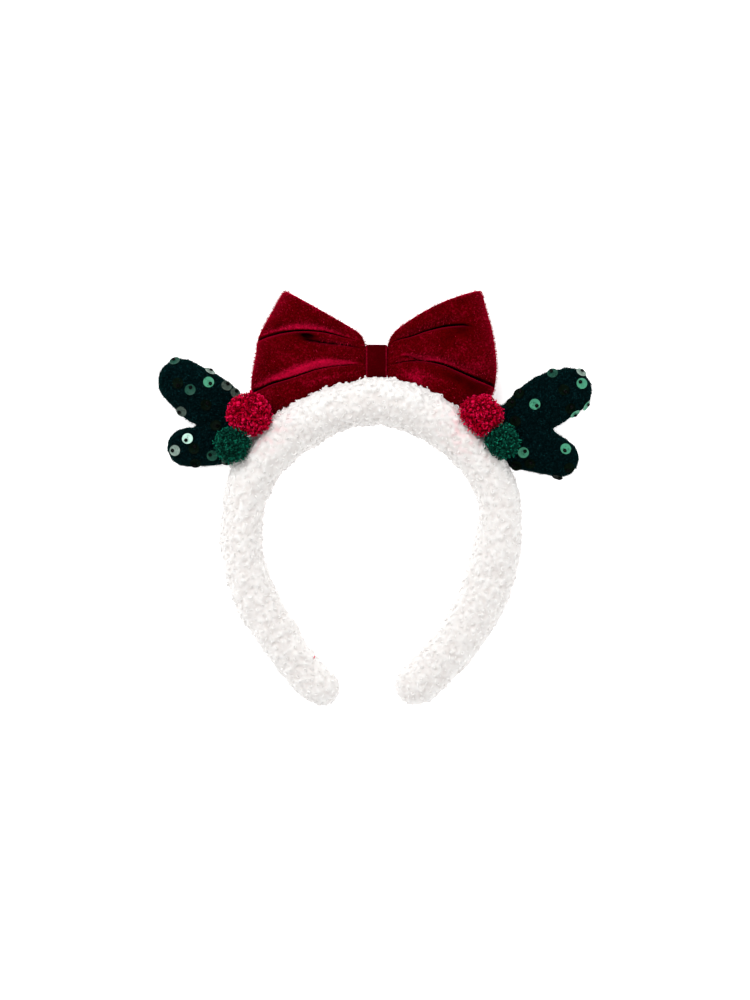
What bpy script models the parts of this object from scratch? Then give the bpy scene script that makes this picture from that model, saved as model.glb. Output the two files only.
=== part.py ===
"""Reindeer antler headband: a fleece band with a velvet bow, two felt antlers, four pompoms and sequins.

It lies flat on its back edge. X runs to the right as seen from the front, Y up to the crown, Z to the front.
Lengths are in metres, angles in degrees from the crown, positive towards +X.
"""

import math

import bmesh
import bpy
from mathutils import Vector
from mathutils.bvhtree import BVHTree

MM = 0.001
CLEARANCE = 0.3 * MM

# Fleece band
BAND_RADIUS = 72.5 * MM
BAND_WIDTH = 26.0 * MM
BAND_DEPTH = 36.0 * MM
BAND_LUMP = 0.4 * MM
LUMPS_ALONG = (21, 34)
BAND_STATIONS = 62
BAND_SIDES = 16
TIP_LENGTH = 11.5 * MM
TIP_RINGS = 3
TIP_CLOSING = math.radians(84)
UNDERSIDE = math.radians(67.5)
# Columns: angle, then shares of BAND_RADIUS, BAND_WIDTH and BAND_DEPTH
BAND_ROWS = (
    (-160, 1.146, 0.84, 0.70),
    (-147, 1.057, 0.85, 0.76),
    (-133, 0.983, 0.91, 0.82),
    (-115, 0.966, 0.95, 0.87),
    (-95, 0.981, 0.90, 0.91),
    (-75, 1.011, 0.92, 0.94),
    (-55, 1.049, 1.01, 0.97),
    (-30, 1.047, 1.01, 1.00),
    (-10, 1.070, 0.96, 1.00),
    (5, 1.089, 1.01, 1.00),
    (25, 1.066, 0.98, 1.00),
    (50, 1.047, 0.95, 0.98),
    (70, 1.024, 0.90, 0.95),
    (85, 0.975, 0.97, 0.92),
    (100, 0.932, 1.09, 0.89),
    (118, 0.936, 1.03, 0.86),
    (135, 0.968, 0.99, 0.81),
    (150, 1.028, 0.96, 0.75),
    (163, 1.113, 0.89, 0.70),
)

# Velvet bow: the pinch lies in the knot, the loops spread from it
KNOT_ASIDE = 2.7 * MM
KNOT_WIDTH = 11.8 * MM
KNOT_STRAP = 1.9 * MM
KNOT_ROUNDING = 1.2 * MM
PINCH_HEIGHT = 13.6 * MM
BOW_WALL = 1.6 * MM
BOW_MIDDLE = 12.0 * MM
BOW_REACH = 67.0 * MM
BOW_RISE = 39.2 * MM
BOW_PUFF_FRONT = 12.5 * MM
BOW_PUFF_BACK = 8.5 * MM
BOW_SINK = 3.0 * MM
PINCH_GAP = 0.6 * MM
KNOT_SHOULDER = 0.045
BOW_COLUMNS = 13
BOW_ARCH = {-1: 0.0, 1: 0.09}
# The outer end of each loop, by side. Columns: share of the way down, share of BOW_REACH
BOW_ENDS = {
    -1: (
        (0.00, 0.754),
        (0.15, 0.836),
        (0.28, 0.915),
        (0.37, 0.960),
        (0.50, 0.982),
        (0.75, 1.020),
        (0.88, 0.985),
        (1.00, 0.860),
    ),
    1: (
        (0.00, 0.855),
        (0.16, 0.896),
        (0.32, 0.941),
        (0.56, 0.976),
        (0.75, 0.963),
        (0.83, 0.930),
        (0.90, 0.865),
        (1.00, 0.780),
    ),
}
# Two creases run out from the knot over each loop's front. Columns: share of the way out, then the upper
# crease's shares of the way down and of CREASE_DEPTH, then the same of the lower crease
CREASE_DEPTH = 4.2 * MM
CREASE_SLOPE = 0.080
CREASE_LIP = 0.028
BOW_CREASES = {
    -1: (
        (0.00, 0.16, 0.0, 0.67, 0.2),
        (0.12, 0.19, 0.5, 0.68, 0.9),
        (0.24, 0.22, 1.0, 0.70, 1.0),
        (0.45, 0.24, 1.0, 0.73, 1.0),
        (0.70, 0.29, 1.0, 0.78, 1.0),
        (0.90, 0.36, 1.0, 0.80, 1.0),
        (1.00, 0.40, 0.9, 0.80, 0.8),
    ),
    1: (
        (0.00, 0.16, 0.2, 0.67, 0.2),
        (0.12, 0.22, 0.9, 0.67, 0.9),
        (0.24, 0.27, 1.0, 0.66, 0.9),
        (0.45, 0.27, 1.0, 0.67, 1.0),
        (0.70, 0.27, 0.8, 0.72, 1.0),
        (0.90, 0.31, 0.3, 0.76, 1.0),
        (1.00, 0.34, 0.0, 0.76, 0.9),
    ),
}
# Rows of points across the velvet. Columns: the line they keep to (0 top edge, 1 upper crease,
# 2 lower crease, 3 bottom edge), and how far they lie from it towards the next line, as a share
BOW_ROWS = (
    (0, 0.00),
    (0, 0.40),
    (0, 0.75),
    (1, 0.00),
    (1, 0.11),
    (1, 0.45),
    (1, 0.75),
    (1, 0.88),
    (2, 0.00),
    (2, 0.20),
    (2, 0.60),
    (3, 0.00),
)

# Felt antlers
ANTLER_REACH = 49.0 * MM
ANTLER_HEIGHT = 62.0 * MM
ANTLER_THICKNESS = 15.0 * MM
ANTLER_MIDDLE = 14.0 * MM
PRONG_STATIONS = 9
PRONG_SIDES = 14
PRONG_TIP_RINGS = 4
PRONG_CLOSING = math.radians(82)
# Columns: shares of ANTLER_REACH (out), ANTLER_HEIGHT (up), ANTLER_HEIGHT (half width), ANTLER_THICKNESS
ANTLERS = {
    "left": {
        "side": -1,
        "angle": -49.4,
        "standoff": 9.0 * MM,
        "lower": (
            (-0.130, -0.050, 0.090, 0.70),
            (-0.050, -0.020, 0.170, 0.80),
            (0.000, 0.000, 0.300, 0.90),
            (0.168, -0.093, 0.240, 1.00),
            (0.348, -0.151, 0.186, 0.95),
            (0.550, -0.164, 0.177, 0.85),
        ),
        "upper": (
            (0.045, 0.133, 0.177, 0.80),
            (0.180, 0.204, 0.222, 0.95),
            (0.370, 0.275, 0.248, 1.00),
            (0.606, 0.412, 0.217, 0.90),
        ),
    },
    "right": {
        "side": 1,
        "angle": 49.2,
        "standoff": 6.5 * MM,
        "lower": (
            (-0.120, -0.040, 0.090, 0.70),
            (-0.045, -0.020, 0.160, 0.80),
            (0.000, 0.000, 0.297, 0.90),
            (0.202, -0.067, 0.270, 1.00),
            (0.438, -0.155, 0.217, 0.95),
            (0.645, -0.226, 0.177, 0.85),
        ),
        "upper": (
            (0.112, 0.058, 0.177, 0.80),
            (0.314, 0.182, 0.222, 0.95),
            (0.528, 0.288, 0.244, 1.00),
            (0.741, 0.368, 0.217, 0.90),
        ),
    },
}

# Pompoms
RED_RADIUS = 12.4 * MM
GREEN_RADIUS = 10.2 * MM
LOCK_DEPTH = 0.15
LOCK_TAPER = 0.72
LOCK_UNEVENNESS = 0.03
# Columns: name, radius, angle, how far the middle stands off the band's edge as a share of the radius, height
POMPOMS = (
    ("pompom_red_left", RED_RADIUS, -43.2, 0.70, 31.0 * MM, "yarn_red"),
    ("pompom_green_left", GREEN_RADIUS, -53.9, 0.45, 32.5 * MM, "yarn_green"),
    ("pompom_red_right", RED_RADIUS, 40.5, 0.24, 32.0 * MM, "yarn_red"),
    ("pompom_green_right", GREEN_RADIUS, 51.3, 0.22, 33.5 * MM, "yarn_green"),
)

# Sequins
SEQUIN_RADIUS = 3.0 * MM
SEQUIN_THICKNESS = 0.5 * MM
SEQUIN_SIDES = 12

# Columns: red, green, blue as seen on a screen, roughness
COLOURS = {
    "boucle_fleece": (0.93, 0.90, 0.86, 0.95),
    "crimson_velvet": (0.42, 0.02, 0.06, 0.85),
    "green_felt": (0.05, 0.09, 0.07, 0.95),
    "yarn_red": (0.65, 0.02, 0.16, 0.95),
    "yarn_green": (0.10, 0.30, 0.25, 0.95),
    "green_sequin": (0.10, 0.30, 0.22, 0.20),
}


def spline(rows, at):
    """Every column of a table, read at a row number that may lie between two rows."""
    last = len(rows) - 1
    i = min(max(int(math.floor(at)), 0), last - 1)
    f = at - i
    before = rows[max(i - 1, 0)]
    here = rows[i]
    after = rows[i + 1]
    beyond = rows[min(i + 2, last)]
    out = []
    for a, b, c, d in zip(before, here, after, beyond):
        slope_b = (c - a) / 2
        slope_c = (d - b) / 2
        cube = 2 * b - 2 * c + slope_b + slope_c
        square = 3 * c - 3 * b - 2 * slope_b - slope_c
        out.append(b + f * (slope_b + f * (square + f * cube)))
    return out


def row_at(rows, place):
    """Row number of a table at a place that its first column gives."""
    low = 0.0
    high = len(rows) - 1.0
    while high - low > 1e-6:
        middle = (low + high) / 2
        if spline(rows, middle)[0] < place:
            low = middle
        else:
            high = middle
    return low


def mix(a, b, share):
    return a + (b - a) * share


def crown_direction(angle):
    return Vector((math.sin(math.radians(angle)), math.cos(math.radians(angle)), 0))


# Objects, materials and collections


def new_collection(name):
    collection = bpy.data.collections.new(name)
    bpy.context.scene.collection.children.link(collection)
    return collection


def new_material(name, red, green, blue, roughness):
    material = bpy.data.materials.new(name)
    material.use_nodes = True
    shader = material.node_tree.nodes["Principled BSDF"]
    shader.inputs["Base Color"].default_value = (red**2.2, green**2.2, blue**2.2, 1)
    shader.inputs["Roughness"].default_value = roughness
    material.diffuse_color = (red, green, blue, 1)
    return material


def new_object(name, bm, material):
    """Turns a bmesh into a named object under the root empty."""
    bmesh.ops.recalc_face_normals(bm, faces=bm.faces)
    mesh = bpy.data.meshes.new(name)
    bm.to_mesh(mesh)
    bm.free()
    obj = bpy.data.objects.new(name, mesh)
    obj.parent = ROOT
    if material:
        mesh.materials.append(MATERIALS[material])
        PARTS.objects.link(obj)
    else:
        obj.hide_render = True
        obj.display_type = "WIRE"
        CUTTERS.objects.link(obj)
    return obj


def loft(rings):
    """A closed skin over rings of as many points each, with a flat face on each end ring."""
    bm = bmesh.new()
    rows = [[bm.verts.new(p) for p in ring] for ring in rings]
    sides = len(rows[0])
    for a, b in zip(rows, rows[1:]):
        for k in range(sides):
            n = (k + 1) % sides
            bm.faces.new((a[k], a[n], b[n], b[k]))
    bm.faces.new(rows[0][::-1])
    bm.faces.new(rows[-1])
    return bm


def add_boolean(obj, other, operation):
    modifier = obj.modifiers.new(operation.lower(), "BOOLEAN")
    modifier.operation = operation
    modifier.object = other
    modifier.solver = "EXACT"


def surface_of(obj):
    """The object's surface with its modifiers, for measuring distances to it."""
    bpy.context.view_layer.update()
    return BVHTree.FromObject(obj, bpy.context.evaluated_depsgraph_get())


# Fleece band


def band_middle(at):
    angle, radius, _, _ = spline(BAND_ROWS, at)
    return crown_direction(angle) * radius * BAND_RADIUS


def band_section(at, extra, forward, scale):
    """One ring of the band: its underside is flat, and lumps of fleece show where extra is 0."""
    last = len(BAND_ROWS) - 1
    angle, _, width, depth = spline(BAND_ROWS, at)
    step = 0.02
    along = (band_middle(min(at + step, last)) - band_middle(max(at - step, 0))).normalized()
    outward = Vector((-along.y, along.x, 0))
    half_width = width * BAND_WIDTH / 2 * scale + extra
    half_depth = depth * BAND_DEPTH / (1 + math.sin(UNDERSIDE))
    middle = band_middle(at) + along * forward
    centre_height = half_depth * math.sin(UNDERSIDE)
    round_crown = math.radians(angle)
    ring = []
    for k in range(BAND_SIDES):
        turn = 2 * math.pi * k / BAND_SIDES
        lump = 0.6 * math.sin(round_crown * LUMPS_ALONG[0] + 2 * turn)
        lump += 0.4 * math.sin(round_crown * LUMPS_ALONG[1] - 3 * turn)
        swell = 0 if extra else BAND_LUMP * lump * scale
        point = middle + outward * (half_width + swell) * math.cos(turn)
        point.z = centre_height + (half_depth * scale + extra + swell) * math.sin(turn)
        if math.sin(turn) < -0.9:
            point.z = (1 - scale) * centre_height - extra
        ring.append(point)
    return ring


def band_rings(extra):
    last = len(BAND_ROWS) - 1
    rings = []
    for j in range(TIP_RINGS, 0, -1):
        turn = TIP_CLOSING * j / TIP_RINGS
        rings.append(band_section(0, extra, -TIP_LENGTH * math.sin(turn), math.cos(turn)))
    for i in range(BAND_STATIONS + 1):
        rings.append(band_section(last * i / BAND_STATIONS, extra, 0, 1))
    for j in range(1, TIP_RINGS + 1):
        turn = TIP_CLOSING * j / TIP_RINGS
        rings.append(band_section(last, extra, TIP_LENGTH * math.sin(turn), math.cos(turn)))
    return rings


def band_edge(angle):
    """Distance from the head's middle to the band's outer edge."""
    _, radius, width, _ = spline(BAND_ROWS, row_at(BAND_ROWS, angle))
    return radius * BAND_RADIUS + width * BAND_WIDTH / 2


# Velvet bow


def knot_middle():
    reach = band_edge(0) + BAND_LUMP + CLEARANCE + KNOT_STRAP + CLEARANCE + PINCH_HEIGHT / 2
    return Vector((KNOT_ASIDE, reach, BOW_MIDDLE))


def crease_lines(side, s):
    """Places of the two creases down the velvet at a place out from the knot, and their depths."""
    rows = BOW_CREASES[side]
    _, upper, upper_depth, lower, lower_depth = spline(rows, row_at(rows, s))
    return (upper, upper_depth), (lower, lower_depth)


def crease_depth(side, s, t):
    """Depth of the creases: the velvet slopes in from above and ends in a short lip."""
    depth = 0
    for line, share in crease_lines(side, s):
        flank = CREASE_SLOPE if t < line else CREASE_LIP
        depth += CREASE_DEPTH * share * math.exp(-(((t - line) / flank) ** 2))
    return depth


def bow_point(side, u, t):
    """A point of a loop: u runs from the knot's front (0) round the end (0.5) to its back (1), t downwards."""
    ends = BOW_ENDS[side]
    knot = knot_middle()
    half_knot = KNOT_WIDTH / 2 + CLEARANCE
    s = math.sin(math.pi * u)
    near_knot = math.exp(-s / KNOT_SHOULDER)
    straight = mix(ends[0][1], ends[-1][1], t)
    curve = spline(ends, row_at(ends, t))[1] - straight
    out = mix(half_knot, straight * BOW_REACH, s) + curve * BOW_REACH * s * s
    top = mix(PINCH_HEIGHT, BOW_RISE, s) + BOW_ARCH[side] * BOW_RISE * math.sin(math.pi * s)
    top = mix(top, PINCH_HEIGHT / 2, near_knot)
    x = knot.x + side * mix(half_knot, ends[-1][1] * BOW_REACH, s)
    angle = math.degrees(math.atan2(x, knot.y))
    edge = band_edge(angle) - BOW_SINK
    low = mix(math.sqrt(max(edge * edge - x * x, 0)) - knot.y, -PINCH_HEIGHT / 2, near_knot)
    puff = BOW_PUFF_FRONT if u < 0.5 else BOW_PUFF_BACK
    fold = math.sin(2 * math.pi * u)
    depth = puff * fold * mix(0.82, 1, math.sin(math.pi * t)) * mix(1, 0.8, t)
    pinch = (PINCH_GAP + BOW_WALL) / 2 * math.cos(math.pi * u)
    crease = crease_depth(side, s, t) * abs(fold) if u < 0.5 else 0
    return Vector((knot.x + side * out, knot.y + mix(top, low, t), knot.z + depth + pinch - crease))


def bow_columns():
    """Places round the ring of velvet: the left loop from front to back, then the right loop."""
    places = []
    for i in range(BOW_COLUMNS + 1):
        places.append(0.5 * (i / BOW_COLUMNS) ** 1.25)
    half = places + [1 - u for u in places[-2::-1]]
    return [(-1, u) for u in half] + [(1, u) for u in half[::-1]]


def row_places(side, u):
    """Places of the rows down the velvet, which keep to the creases."""
    (upper, _), (lower, _) = crease_lines(side, math.sin(math.pi * u))
    lines = (0, upper, lower, 1, 1)
    return [mix(lines[line], lines[line + 1], share) for line, share in BOW_ROWS]


def make_bow():
    bm = bmesh.new()
    columns = []
    for side, u in bow_columns():
        columns.append([bm.verts.new(bow_point(side, u, t)) for t in row_places(side, u)])
    for a, b in zip(columns, columns[1:] + columns[:1]):
        for k in range(len(BOW_ROWS) - 1):
            bm.faces.new((a[k], a[k + 1], b[k + 1], b[k]))
    bow = new_object("velvet_bow", bm, "crimson_velvet")
    wall = bow.modifiers.new("wall", "SOLIDIFY")
    wall.thickness = BOW_WALL
    wall.offset = 0
    add_boolean(bow, BAND_ROOM, "DIFFERENCE")
    return bow


def box(name, middle, size, material):
    bm = bmesh.new()
    bmesh.ops.create_cube(bm, size=1)
    for v in bm.verts:
        v.co = Vector((v.co.x * size[0], v.co.y * size[1], v.co.z * size[2]))
    obj = new_object(name, bm, material)
    obj.location = middle
    return obj


def make_knot():
    hole_height = PINCH_HEIGHT + 2 * CLEARANCE
    hole_depth = PINCH_GAP + 2 * BOW_WALL + 2 * CLEARANCE
    size = (KNOT_WIDTH, hole_height + 2 * KNOT_STRAP, hole_depth + 2 * KNOT_STRAP)
    knot = box("bow_knot", knot_middle(), size, "crimson_velvet")
    rounding = knot.modifiers.new("rounding", "BEVEL")
    rounding.width = KNOT_ROUNDING
    rounding.segments = 2
    hole = box("knot_hole", knot_middle(), (2 * KNOT_WIDTH, hole_height, hole_depth), None)
    add_boolean(knot, hole, "DIFFERENCE")
    return knot


# Felt antlers


def antler_foot(antler):
    """Where the antler's two prongs start, off the band's outer edge."""
    reach = band_edge(antler["angle"]) + antler["standoff"]
    foot = crown_direction(antler["angle"]) * reach
    foot.z = ANTLER_MIDDLE
    return foot


def prong_at(antler, rows, at):
    """Middle, direction across, half width and half thickness of a prong at a row number."""
    last = len(rows) - 1
    step = 0.05

    def middle(place):
        out, up, _, _ = spline(rows, place)
        return antler_foot(antler) + Vector((antler["side"] * out * ANTLER_REACH, up * ANTLER_HEIGHT, 0))

    along = (middle(min(at + step, last)) - middle(max(at - step, 0))).normalized()
    across = Vector((-along.y, along.x, 0)) * antler["side"]
    _, _, half_width, thickness = spline(rows, at)
    return middle(at), along, across, half_width * ANTLER_HEIGHT, thickness * ANTLER_THICKNESS / 2


def prong_rings(antler, rows):
    last = len(rows) - 1
    places = [(last * i / PRONG_STATIONS, 0, 1) for i in range(PRONG_STATIONS + 1)]
    for j in range(1, PRONG_TIP_RINGS + 1):
        turn = PRONG_CLOSING * j / PRONG_TIP_RINGS
        places.append((last, math.sin(turn), math.cos(turn)))
    rings = []
    for at, forward, scale in places:
        middle, along, across, half_width, half_thickness = prong_at(antler, rows, at)
        centre = middle + along * forward * half_width
        ring = []
        for k in range(PRONG_SIDES):
            turn = 2 * math.pi * k / PRONG_SIDES
            point = centre + across * half_width * scale * math.cos(turn)
            point.z += half_thickness * scale**0.8 * math.sin(turn)
            ring.append(point)
        rings.append(ring)
    return rings


def make_antler(side):
    antler = ANTLERS[side]
    body = new_object(f"antler_{side}", loft(prong_rings(antler, antler["lower"])), "green_felt")
    prong = new_object(f"prong_{side}", loft(prong_rings(antler, antler["upper"])), None)
    add_boolean(body, prong, "UNION")
    add_boolean(body, BAND_ROOM, "DIFFERENCE")
    return body


# Sequins: columns are the prong, the row number along it, the share of the half width across it
SEQUINS = {
    "left": (
        ("upper", 2.51, -0.03),
        ("upper", 2.15, 0.58),
        ("upper", 3.06, -0.13),
        ("upper", 1.70, -0.18),
        ("upper", 2.33, -0.85),
        ("upper", 3.53, 0.77),
        ("upper", 2.36, 0.94),
        ("upper", 1.14, 0.80),
        ("upper", 0.65, 0.80),
        ("lower", 4.88, 0.41),
        ("lower", 5.40, -0.16),
        ("lower", 4.53, -0.09),
        ("lower", 3.76, -0.52),
        ("lower", 2.80, 0.49),
        ("lower", 3.20, -0.86),
        ("lower", 4.51, -0.80),
    ),
    "right": (
        ("upper", 3.43, 0.05),
        ("upper", 1.35, 0.14),
        ("upper", 2.75, 0.11),
        ("upper", 2.67, -0.65),
        ("upper", 2.60, 0.87),
        ("upper", 3.59, 0.75),
        ("upper", 3.27, -0.93),
        ("upper", 2.79, -0.92),
        ("upper", 1.05, 0.84),
        ("lower", 3.36, -0.35),
        ("lower", 5.06, 0.53),
        ("lower", 2.46, 0.44),
        ("lower", 5.43, -0.34),
        ("lower", 2.05, 0.90),
        ("lower", 3.32, -0.88),
        ("lower", 5.19, -0.93),
        ("lower", 3.81, -0.66),
    ),
}


def sequin_start(antler, prong, along, across):
    """Where a sequin goes, by row number and share across. Past the last row it goes round the tip."""
    rows = antler[prong]
    last = len(rows) - 1
    middle, forward, sideways, half_width, _ = prong_at(antler, rows, min(along, last))
    tip_turn = max(along - last, 0) * math.pi / 2
    start = middle + forward * math.sin(tip_turn) * half_width
    start += sideways * across * half_width * math.cos(tip_turn)
    angle = math.degrees(math.atan2(start.x, start.y))
    nearest = band_edge(angle) + BAND_LUMP + CLEARANCE + SEQUIN_RADIUS
    distance = math.hypot(start.x, start.y)
    return start * max(nearest / distance, 1)


def make_sequins(side):
    antler = ANTLERS[side]
    surface = surface_of(ANTLER_OBJECTS[side])
    for number, (prong, along, across) in enumerate(SEQUINS[side], 1):
        start = sequin_start(antler, prong, along, across)
        start.z = ANTLER_MIDDLE + ANTLER_THICKNESS
        place, normal, _, _ = surface.ray_cast(start, Vector((0, 0, -1)))
        bm = bmesh.new()
        bmesh.ops.create_cone(
            bm,
            cap_ends=True,
            segments=SEQUIN_SIDES,
            radius1=SEQUIN_RADIUS,
            radius2=SEQUIN_RADIUS,
            depth=SEQUIN_THICKNESS,
        )
        turn = normal.to_track_quat("Z", "Y")
        lift = 0
        for v in bm.verts:
            if v.co.z < 0:
                rim = place + turn @ Vector((v.co.x, v.co.y, 0))
                near, near_normal, _, _ = surface.find_nearest(rim)
                lift = max(lift, (near - rim).dot(near_normal))
        sequin = new_object(f"sequin_{side}_{number:02d}", bm, "green_sequin")
        sequin.rotation_mode = "QUATERNION"
        sequin.rotation_quaternion = turn
        sequin.location = place + normal * (lift + CLEARANCE + SEQUIN_THICKNESS / 2)


# Pompoms


def pompom_middle(radius, angle, standoff, height):
    middle = crown_direction(angle) * (band_edge(angle) + standoff * radius)
    middle.z = height
    return middle


def facing_plane(middle, obj, clearance):
    """The plane on a surface that faces the pompom's middle, a clearance in front of it."""
    near, _, _, distance = surface_of(obj).find_nearest(middle)
    normal = (middle - near) / distance
    return near + normal * clearance, normal


def shared_plane(middle, radius, other_middle, other_radius):
    """The plane between two pompoms that press on each other."""
    gap = middle - other_middle
    share = other_radius / (radius + other_radius)
    place = other_middle + gap * share
    return place + gap.normalized() * CLEARANCE / 2, gap.normalized()


def make_pompom(name, radius, middle, planes, material):
    """A ball of blunt locks, one for each face of an icosphere, held off the planes it presses on."""
    bm = bmesh.new()
    bmesh.ops.create_icosphere(bm, subdivisions=2, radius=radius * (1 - LOCK_DEPTH))
    for number, face in enumerate(list(bm.faces)):
        length = radius * (1 + LOCK_UNEVENNESS * math.sin(2.4 * number))
        lock = bmesh.ops.extrude_discrete_faces(bm, faces=[face])["faces"][0]
        centre = lock.calc_center_median()
        for v in lock.verts:
            v.co = (centre + (v.co - centre) * LOCK_TAPER).normalized() * length
    for v in bm.verts:
        length = v.co.length
        direction = v.co / length
        for place, normal in planes:
            slope = -direction.dot(normal)
            if slope > 0:
                length = min(length, (middle - place).dot(normal) / slope)
        v.co = direction * length
    pompom = new_object(name, bm, material)
    pompom.location = middle
    return pompom


def make_pompoms():
    middles = [pompom_middle(*row[1:5]) for row in POMPOMS]
    for i, (name, radius, _, _, _, material) in enumerate(POMPOMS):
        antler = ANTLER_OBJECTS["left" if i < 2 else "right"]
        planes = [facing_plane(middles[i], BAND_ROOM, 0)]
        planes.append(facing_plane(middles[i], antler, 2 * CLEARANCE))
        planes.append(facing_plane(middles[i], BOW, 2 * CLEARANCE))
        partner = i + 1 if i % 2 == 0 else i - 1
        planes.append(shared_plane(middles[i], radius, middles[partner], POMPOMS[partner][1]))
        make_pompom(name, radius, middles[i], planes, material)


def stand_on_origin():
    """Moves the root so that the part's box stands on the origin, centred."""
    bpy.context.view_layer.update()
    depsgraph = bpy.context.evaluated_depsgraph_get()
    points = []
    for obj in PARTS.objects:
        if obj.type == "MESH":
            shown = obj.evaluated_get(depsgraph)
            points += [shown.matrix_world @ v.co for v in shown.data.vertices]
    low = [min(p[i] for p in points) for i in range(3)]
    high = [max(p[i] for p in points) for i in range(3)]
    ROOT.location = (-(low[0] + high[0]) / 2, -(low[1] + high[1]) / 2, -low[2])
    bpy.context.view_layer.update()


for old in list(bpy.data.objects):
    bpy.data.objects.remove(old, do_unlink=True)

PARTS = new_collection("reindeer_antler_headband")
CUTTERS = new_collection("cutters")
ROOT = bpy.data.objects.new("headband_root", None)
PARTS.objects.link(ROOT)
MATERIALS = {name: new_material(name, *values) for name, values in COLOURS.items()}

new_object("fleece_band", loft(band_rings(0)), "boucle_fleece")
BAND_ROOM = new_object("band_room", loft(band_rings(BAND_LUMP + CLEARANCE)), None)
BOW = make_bow()
make_knot()
ANTLER_OBJECTS = {side: make_antler(side) for side in ANTLERS}
for antler_side in ANTLERS:
    make_sequins(antler_side)
make_pompoms()
stand_on_origin()
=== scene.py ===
# %% [markdown]
# A reindeer antler headband, dressed for a picture. The frame holds its solids at their real size.
# Here each soft solid gets the surface of the real cloth: curly fleece, velvet, wool felt and cut yarn.

import math

import bpy
import numpy as np
from mathutils import Matrix, Vector, noise
from mathutils.bvhtree import BVHTree
from mathutils.kdtree import KDTree


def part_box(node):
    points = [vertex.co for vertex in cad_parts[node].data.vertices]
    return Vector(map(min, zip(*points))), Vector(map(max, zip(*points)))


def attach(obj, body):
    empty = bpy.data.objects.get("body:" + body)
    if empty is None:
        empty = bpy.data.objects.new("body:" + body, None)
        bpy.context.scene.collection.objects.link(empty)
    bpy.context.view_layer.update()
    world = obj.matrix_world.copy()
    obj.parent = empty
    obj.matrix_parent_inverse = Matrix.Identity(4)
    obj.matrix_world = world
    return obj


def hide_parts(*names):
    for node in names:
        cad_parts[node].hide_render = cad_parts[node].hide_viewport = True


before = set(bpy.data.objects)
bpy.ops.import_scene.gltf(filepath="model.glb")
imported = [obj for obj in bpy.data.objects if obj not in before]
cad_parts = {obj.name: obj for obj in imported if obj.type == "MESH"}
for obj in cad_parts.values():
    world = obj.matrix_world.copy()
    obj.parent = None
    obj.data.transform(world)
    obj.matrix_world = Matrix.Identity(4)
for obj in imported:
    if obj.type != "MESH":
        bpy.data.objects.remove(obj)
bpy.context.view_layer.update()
MM = 0.001

# %% [markdown]
# The photo looks square at the front of the headband, which lies on its back edge.
# So the camera stands straight above it and looks down, with a long lens that hardly narrows with depth.
# The lens follows from the distance and the real size of a pixel, which holds at half the band's depth.

# %% Camera
PIXEL = 0.55 * MM
PHOTO_HEIGHT = 1000
PICTURE_MIDDLE = (0.0, -1.3 * MM)
HALF_DEPTH = 18 * MM
VIEW_DISTANCE = 2.2
SENSOR = 36.0


def new_object(name, data):
    obj = bpy.data.objects.new(name, data)
    bpy.context.scene.collection.objects.link(obj)
    return obj


camera_data = bpy.data.cameras.new("photo_camera")
camera_data.sensor_width = SENSOR
camera_data.lens = SENSOR * VIEW_DISTANCE / (PHOTO_HEIGHT * PIXEL)
camera = new_object("photo_camera", camera_data)
camera.location = (*PICTURE_MIDDLE, VIEW_DISTANCE + HALF_DEPTH)
bpy.context.scene.camera = camera
print("lens:", round(camera_data.lens, 1), "mm")

# %% [markdown]
# A studio picture of a small soft thing uses one wide soft light and a bright surround.
# The wide light stands above the crown and to the left, so the folds of the bow keep a dark side.
# A weaker one on the other side lifts the deepest shade.

# %% Lights
SURROUND_STRENGTH = 0.68


def area_light(name, place, size, power):
    data = bpy.data.lights.new(name, "AREA")
    data.shape = "DISK"
    data.size = size
    data.energy = power
    light = new_object(name, data)
    light.location = place
    light.rotation_mode = "QUATERNION"
    light.rotation_quaternion = Vector(place).to_track_quat("Z", "Y")
    print(name, power, "W")


area_light("key_light", place=(-0.7, 1.0, 1.7), size=1.3, power=31)
area_light("fill_light", place=(1.2, -0.6, 1.9), size=1.6, power=14)
world = bpy.data.worlds.new("studio")
world.use_nodes = True
world.node_tree.nodes["Background"].inputs["Color"].default_value = (1, 1, 1, 1)
world.node_tree.nodes["Background"].inputs["Strength"].default_value = SURROUND_STRENGTH
bpy.context.scene.world = world
bpy.context.scene.view_settings.view_transform = "Standard"

# %% [markdown]
# Materials are small node graphs. One function turns a colour as seen on a screen into the linear value
# that the shader needs, and one adds a node, with its settings, its values and its links.

# %% Helpers for materials
def linear(hex_colour):
    """Linear red, green, blue and alpha of a colour written as sRGB hex."""
    parts = [int(hex_colour[i : i + 2], 16) / 255 for i in (1, 3, 5)]
    return [c / 12.92 if c <= 0.04045 else ((c + 0.055) / 1.055) ** 2.4 for c in parts] + [1.0]


def add(tree, kind, inputs=(), **settings):
    """Adds a node. inputs pairs each socket's name or number with its value or the socket that feeds it."""
    node = tree.nodes.new(kind)
    for name, value in settings.items():
        setattr(node, name, value)
    for name, value in dict(inputs).items():
        if isinstance(value, bpy.types.NodeSocket):
            tree.links.new(value, node.inputs[name])
        else:
            node.inputs[name].default_value = value
    return node


def new_material(name, **sockets):
    """A material with one Principled shader. Plain values are set straight on its sockets, _ for a space."""
    material = bpy.data.materials.new(name)
    material.use_nodes = True
    shader = material.node_tree.nodes["Principled BSDF"]
    for socket, value in sockets.items():
        shader.inputs[socket.replace("_", " ")].default_value = value
    return material, material.node_tree, shader


def ramp(tree, factor, stops):
    """A colour ramp. stops pairs places from 0 to 1 with hex colours."""
    node = add(tree, "ShaderNodeValToRGB", {"Fac": factor})
    while len(node.color_ramp.elements) < len(stops):
        node.color_ramp.elements.new(0.5)
    for element, (place, colour) in zip(node.color_ramp.elements, stops):
        element.position = place
        element.color = linear(colour)
    return node.outputs["Color"]


def attribute(tree, name):
    return add(tree, "ShaderNodeAttribute", attribute_name=name).outputs["Fac"]


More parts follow.
